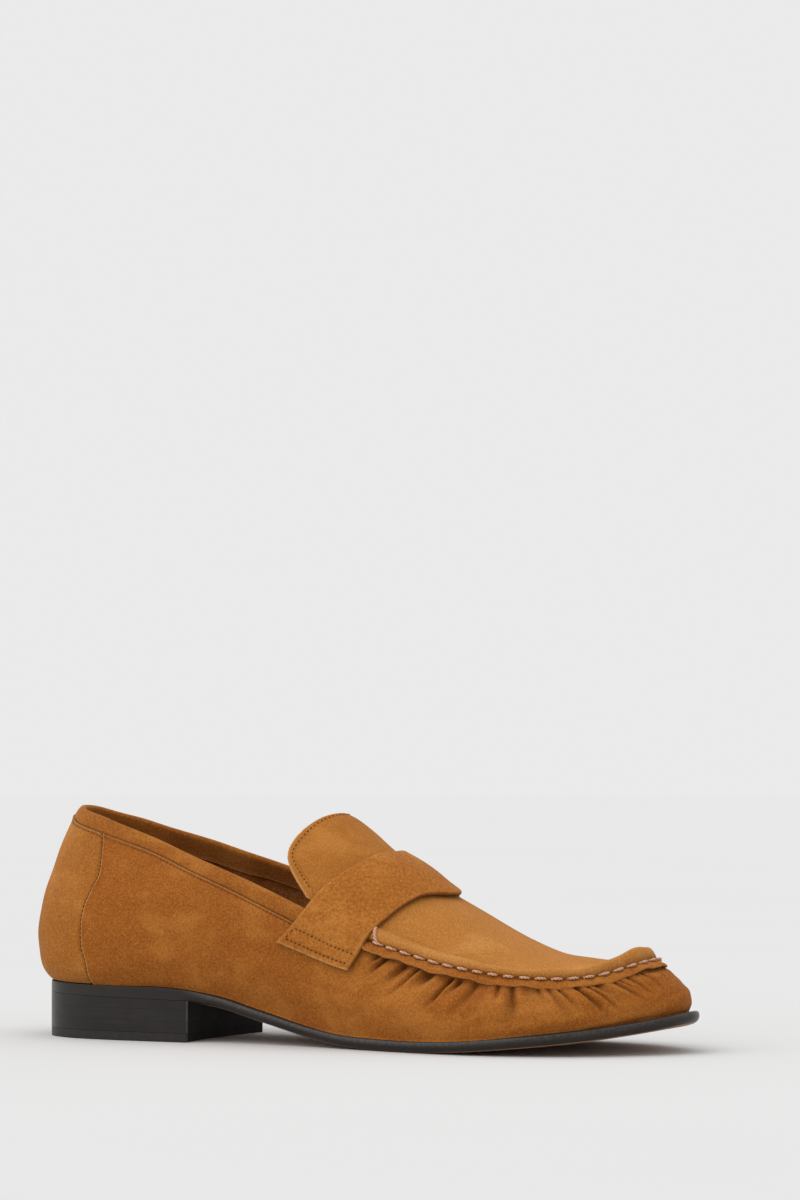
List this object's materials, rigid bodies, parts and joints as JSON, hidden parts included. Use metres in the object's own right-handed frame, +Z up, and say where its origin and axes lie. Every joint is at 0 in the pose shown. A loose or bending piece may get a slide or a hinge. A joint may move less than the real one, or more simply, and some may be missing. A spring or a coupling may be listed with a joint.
{
  "type": "penny loafer",
  "caption": "Right-foot suede penny loafer with a saddle strap, gathered hand-sewn apron seam, free tongue, leather sole and low stacked heel.",
  "frame": {"origin": "middle of the shoe's footprint box, on the ground under it", "axes": "+X along the shoe to the toe, +Z up, -Y to the outer side of a right foot"},
  "size_m": [0.2698, 0.091, 0.0902],
  "materials": {
    "suede": "napped cognac suede, matt, mottled",
    "apron_suede": "napped suede, brushed lighter",
    "strap_suede": "coarse napped suede, matt",
    "lining": "dark brown lining suede, matt",
    "sole_leather": "dark stained sole leather with a waxed edge",
    "heel_leather": "dark stained stacked leather, satin",
    "heel_rubber": "matt black-brown rubber",
    "board": "pressed fibre board",
    "cork": "granulated cork",
    "steel": "plain steel",
    "thread": "waxed hand-sewing thread, pale pink-tan",
    "stiffener": "thermoplastic stiffener"
  },
  "bodies": {
    "shoe": {"top_piece": "heel_rubber", "heel_lift_1": "heel_leather", "heel_lift_2": "heel_leather", "heel_lift_3": "heel_leather", "heel_nail_1": "steel", "heel_nail_2": "steel", "heel_nail_3": "steel", "heel_nail_4": "steel", "heel_nail_5": "steel", "outsole": "sole_leather", "shank": "steel", "cork_filler": "cork", "insole_board": "board", "sock_liner": "lining", "vamp_quarter": "suede", "heel_panel": "suede", "collar_band": "suede", "heel_counter": "stiffener", "toe_puff": "stiffener", "quarter_lining": "lining", "vamp_lining": "lining", "apron": "apron_suede", "apron_lining": "lining", "apron_seam_thread": "thread", "saddle_strap": "strap_suede"},
    "tongue": {"tongue": "apron_suede", "tongue_lining": "lining"}
  },
  "joints": [
    {"name": "tongue_lift", "type": "hinge", "parent": "shoe", "child": "tongue", "pos_m": [0.0162, -0.0019, 0.068], "axis": [0, 1, 0], "range_deg": [-3, 28], "stiffness_Nm_per_rad": 0.15}
  ]
}
